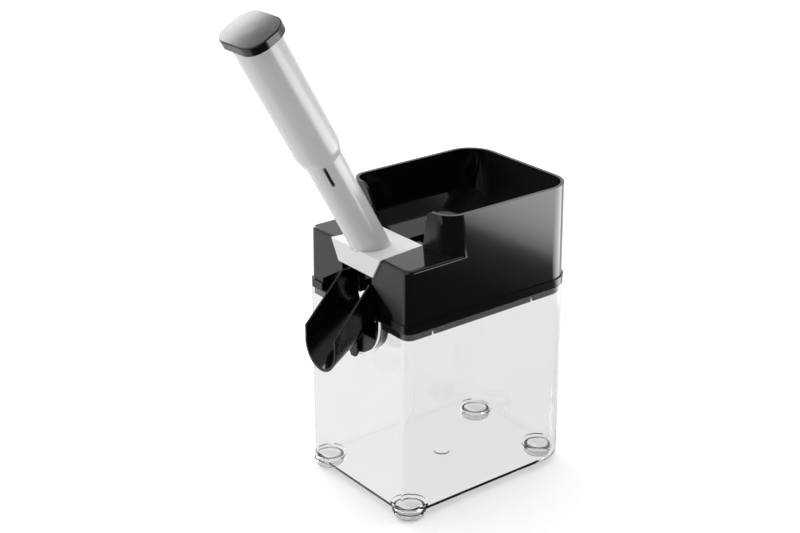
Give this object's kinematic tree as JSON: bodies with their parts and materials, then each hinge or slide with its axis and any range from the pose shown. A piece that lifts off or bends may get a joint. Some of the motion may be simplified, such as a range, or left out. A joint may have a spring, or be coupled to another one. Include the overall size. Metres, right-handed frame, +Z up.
{
  "type": "cherry pitter",
  "caption": "Hand fruit pitter: a clear box under a hopper head with a leaning sprung plunger, a seat below it and an outlet chute in front.",
  "frame": {"origin": "on the table under the middle of the whole object, from the cap's front edge to the box's rear wall", "axes": "+Z up, -Y towards the chute's side, +Y towards the hopper, +X to the right as seen from the chute's side"},
  "size_m": [0.0996, 0.207, 0.3029],
  "materials": {
    "clear": "clear moulded plastic",
    "clear_foot": "clear soft plastic",
    "black": "gloss black",
    "white": "satin white",
    "grey": "satin light grey",
    "steel": "plain",
    "seat": "soft dark rubber",
    "membrane": "soft rubber"
  },
  "bodies": {
    "box": {"container": "clear", "foot_front_left": "clear_foot", "foot_front_right": "clear_foot", "foot_rear_left": "clear_foot", "foot_rear_right": "clear_foot"},
    "head": {"hopper_head": "black", "pitting_seat": "seat", "seat_membrane": "membrane", "seat_keeper": "seat"},
    "plunger_unit": {"plunger_cover": "white", "guide_tube": "grey", "rod_stripper": "white", "rod_wiper": "membrane", "spring_washer": "steel", "return_spring": "steel"},
    "plunger": {"plunger_sleeve": "grey", "plunger_cap": "black", "plunger_stem": "grey", "stem_screw": "steel", "pitting_rod": "steel", "rod_pin": "steel"},
    "outlet": {"chute": "black"}
  },
  "joints": [
    {"name": "head_lift", "type": "slide", "parent": "box", "child": "head", "axis": [0, 0, 1], "range_m": [0, 0.06]},
    {"name": "unit_lift", "type": "slide", "parent": "head", "child": "plunger_unit", "axis": [0, 0, 1], "range_m": [0, 0.02]},
    {"name": "plunger_press", "type": "slide", "parent": "plunger_unit", "child": "plunger", "axis": [0, 0.4869, -0.8734], "range_m": [0, 0.045], "stiffness_N_per_m": 150, "springref_m": -0.01, "deforming": ["return_spring"]},
    {"name": "chute_pull", "type": "slide", "parent": "head", "child": "outlet", "axis": [0, -1, 0], "range_m": [0, 0.03]}
  ]
}
